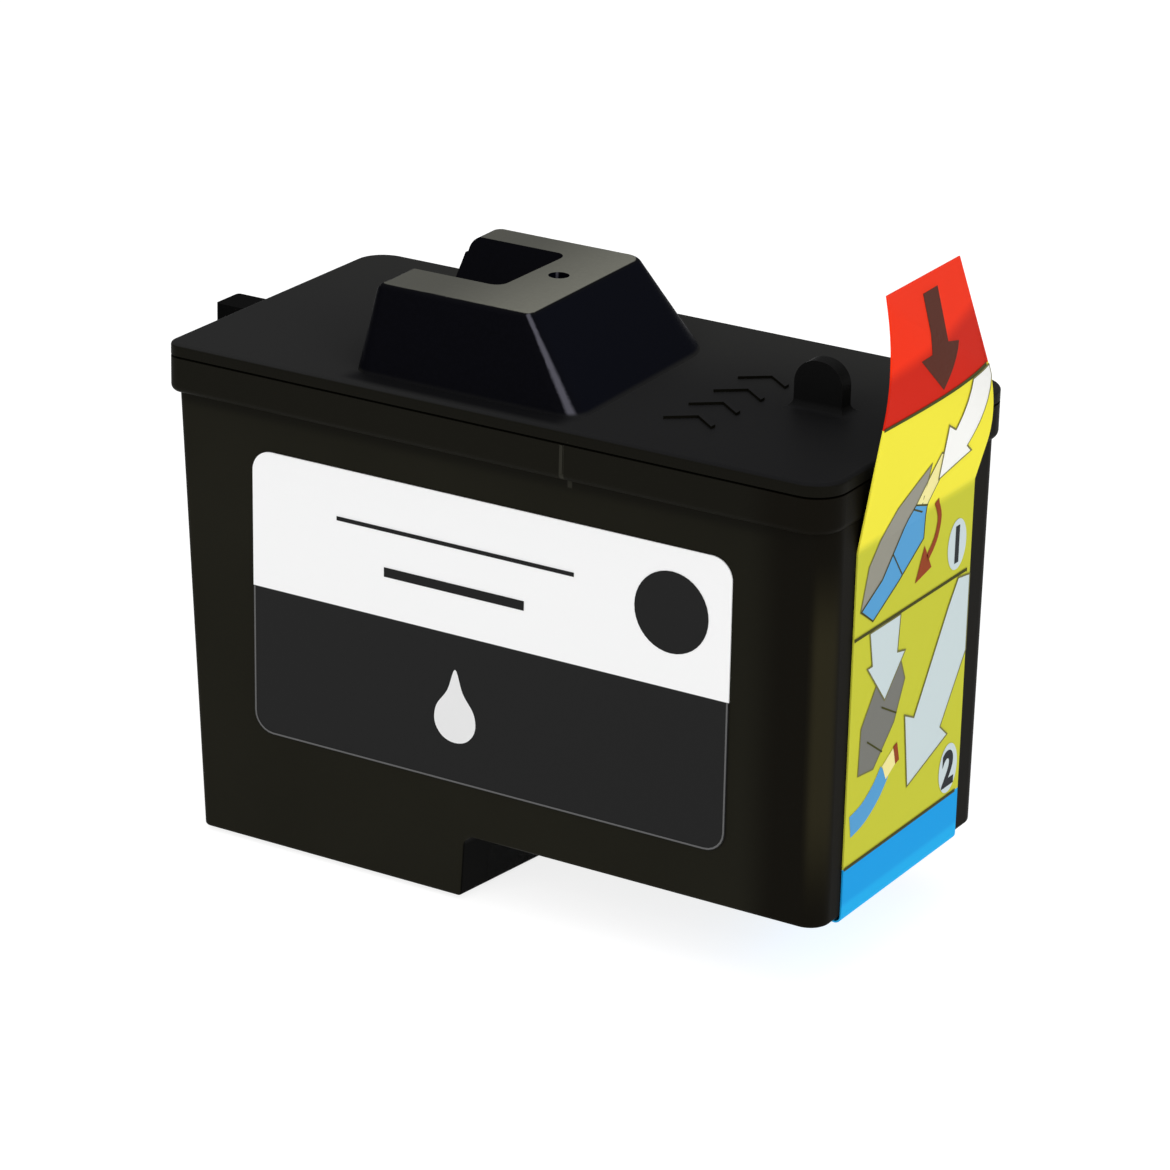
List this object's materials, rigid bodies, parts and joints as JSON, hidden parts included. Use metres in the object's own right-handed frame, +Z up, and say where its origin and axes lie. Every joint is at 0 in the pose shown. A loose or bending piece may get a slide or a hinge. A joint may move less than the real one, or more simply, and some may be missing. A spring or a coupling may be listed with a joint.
{
  "type": "inkjet ink cartridge",
  "caption": "Black moulded ink cartridge with a stepped print head snout, U-shaped grip on the lid, front label and a printed pull tape that seals the head.",
  "frame": {"origin": "middle of the taped face below the print head, on the lowest plane of the cartridge", "axes": "+X to the right seen from the labelled front, from the head end to the sticker end; +Y to the back; +Z up through the lid"},
  "size_m": [0.0745, 0.0337, 0.0627],
  "materials": {
    "housing_plastic": "fine moulded grain, black with an olive cast",
    "lid_plastic": "fine moulded grain, neutral black; grip sides blue-black",
    "foam": "open-cell foam soaked with black ink",
    "screen_steel": "fine woven screen",
    "silicon": "polished silicon",
    "adhesive": "cured adhesive film",
    "circuit_film": "amber polyimide film with copper tracks",
    "encapsulant": "cured black resin",
    "contact_gold": "thin gold plating",
    "clear_tape": "clear plastic tape",
    "sticker_print": "printed film: red tab, yellow field with simple drawings, blue end",
    "label_print": "printed film: white band over a dark band"
  },
  "bodies": {
    "root": {"cartridge_body": "housing_plastic", "lid": "lid_plastic", "ink_foam": "foam", "filter_screen": "screen_steel", "heater_chip": "silicon", "chip_adhesive": "adhesive", "nozzle_plate": "circuit_film", "encapsulant_beads": "encapsulant", "circuit_adhesive": "adhesive", "flex_circuit": "circuit_film", "contact_pads": "contact_gold", "sealing_tape": "clear_tape", "pull_sticker": "sticker_print", "side_label": "label_print"}
  },
  "joints": []
}
